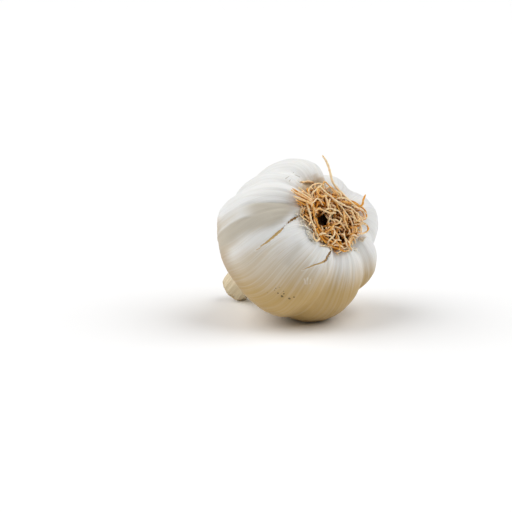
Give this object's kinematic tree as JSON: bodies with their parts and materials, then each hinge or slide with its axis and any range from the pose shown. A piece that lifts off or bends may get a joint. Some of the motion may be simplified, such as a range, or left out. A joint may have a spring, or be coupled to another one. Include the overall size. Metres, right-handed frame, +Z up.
{
  "type": "garlic bulb",
  "caption": "Whole garlic bulb lying on its side, cloves under a papery skin, with a cut neck and a dried tuft of matted roots.",
  "frame": {"origin": "middle of the small flat spot on the belly that the bulb lies on", "axes": "+Z up, +X the level direction that the root end faces, so the neck points to -X and down, and Y runs across the bulb's widest part"},
  "size_m": [0.0681, 0.0707, 0.0662],
  "materials": {
    "papery_skin": "dry papery skin, off-white with fine tan veins, soft sheen",
    "dried_root": "dry matt fibrous root, golden tan to dark brown"
  },
  "bodies": {
    "root": {"bulb": "papery_skin", "root_tuft": "dried_root"}
  },
  "joints": []
}
